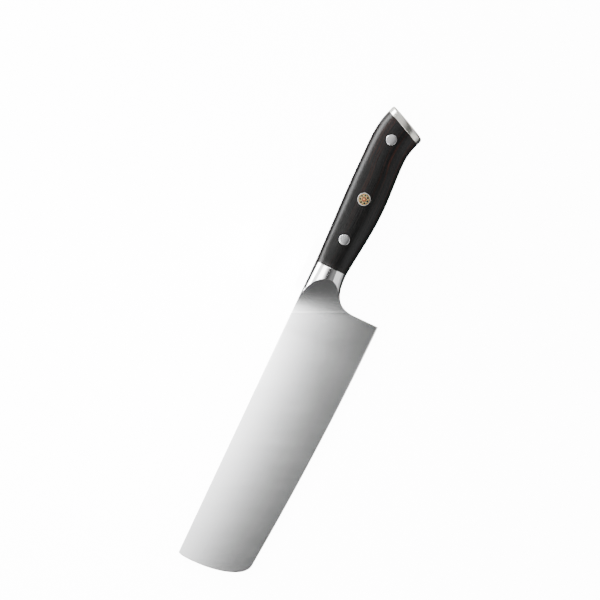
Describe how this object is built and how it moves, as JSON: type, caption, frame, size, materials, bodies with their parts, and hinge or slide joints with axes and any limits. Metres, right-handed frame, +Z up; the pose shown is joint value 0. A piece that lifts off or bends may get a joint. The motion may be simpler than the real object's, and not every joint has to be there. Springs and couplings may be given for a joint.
{
  "type": "nakiri vegetable knife",
  "caption": "Straight-edged vegetable knife with a tall blunt-tipped blade, arched bolster, riveted dark wood scales on a full tang, a mosaic pin and a slanted metal end cap.",
  "frame": {"origin": "on the surface that the knife lies on, under the middle of its box", "axes": "+X along the spine to the tip, +Y from the spine to the cutting edge, +Z up out of the left side, which the picture shows"},
  "size_m": [0.304, 0.0536, 0.0194],
  "materials": {
    "blade_steel": "satin stainless, ground across the blade",
    "bolster_steel": "bright polish, satin in the hollow grind",
    "cap_steel": "fine satin polish",
    "rivet_steel": "polished, slightly domed",
    "ebony": "dark streaked wood, oiled and buffed",
    "pin_sleeve": "buffed flush",
    "pin_brass": "buffed flush",
    "pin_copper": "copper, buffed flush",
    "pin_core": "black casting resin",
    "pin_resin": "dark olive casting resin"
  },
  "bodies": {
    "root": {"blade": "blade_steel", "bolster_left": "bolster_steel", "bolster_right": "bolster_steel", "scale_left": "ebony", "scale_right": "ebony", "end_cap": "cap_steel", "rivet_front_solid": "rivet_steel", "rivet_front_hollow": "rivet_steel", "rivet_rear_solid": "rivet_steel", "rivet_rear_hollow": "rivet_steel", "mosaic_sleeve": "pin_sleeve", "mosaic_resin": "pin_resin", "mosaic_centre_tube": "pin_copper", "mosaic_centre_rod": "pin_brass", "mosaic_brass_tube_1": "pin_brass", "mosaic_brass_tube_2": "pin_brass", "mosaic_brass_tube_3": "pin_brass", "mosaic_brass_tube_4": "pin_brass", "mosaic_brass_tube_5": "pin_brass", "mosaic_brass_tube_6": "pin_brass", "mosaic_brass_tube_7": "pin_brass", "mosaic_dark_core_1": "pin_core", "mosaic_dark_core_2": "pin_core", "mosaic_dark_core_3": "pin_core", "mosaic_dark_core_4": "pin_core", "mosaic_dark_core_5": "pin_core", "mosaic_dark_core_6": "pin_core", "mosaic_dark_core_7": "pin_core", "mosaic_copper_rod_1": "pin_copper", "mosaic_copper_rod_2": "pin_copper", "mosaic_copper_rod_3": "pin_copper", "mosaic_copper_rod_4": "pin_copper", "mosaic_copper_rod_5": "pin_copper", "mosaic_copper_rod_6": "pin_copper", "mosaic_copper_rod_7": "pin_copper"}
  },
  "joints": []
}
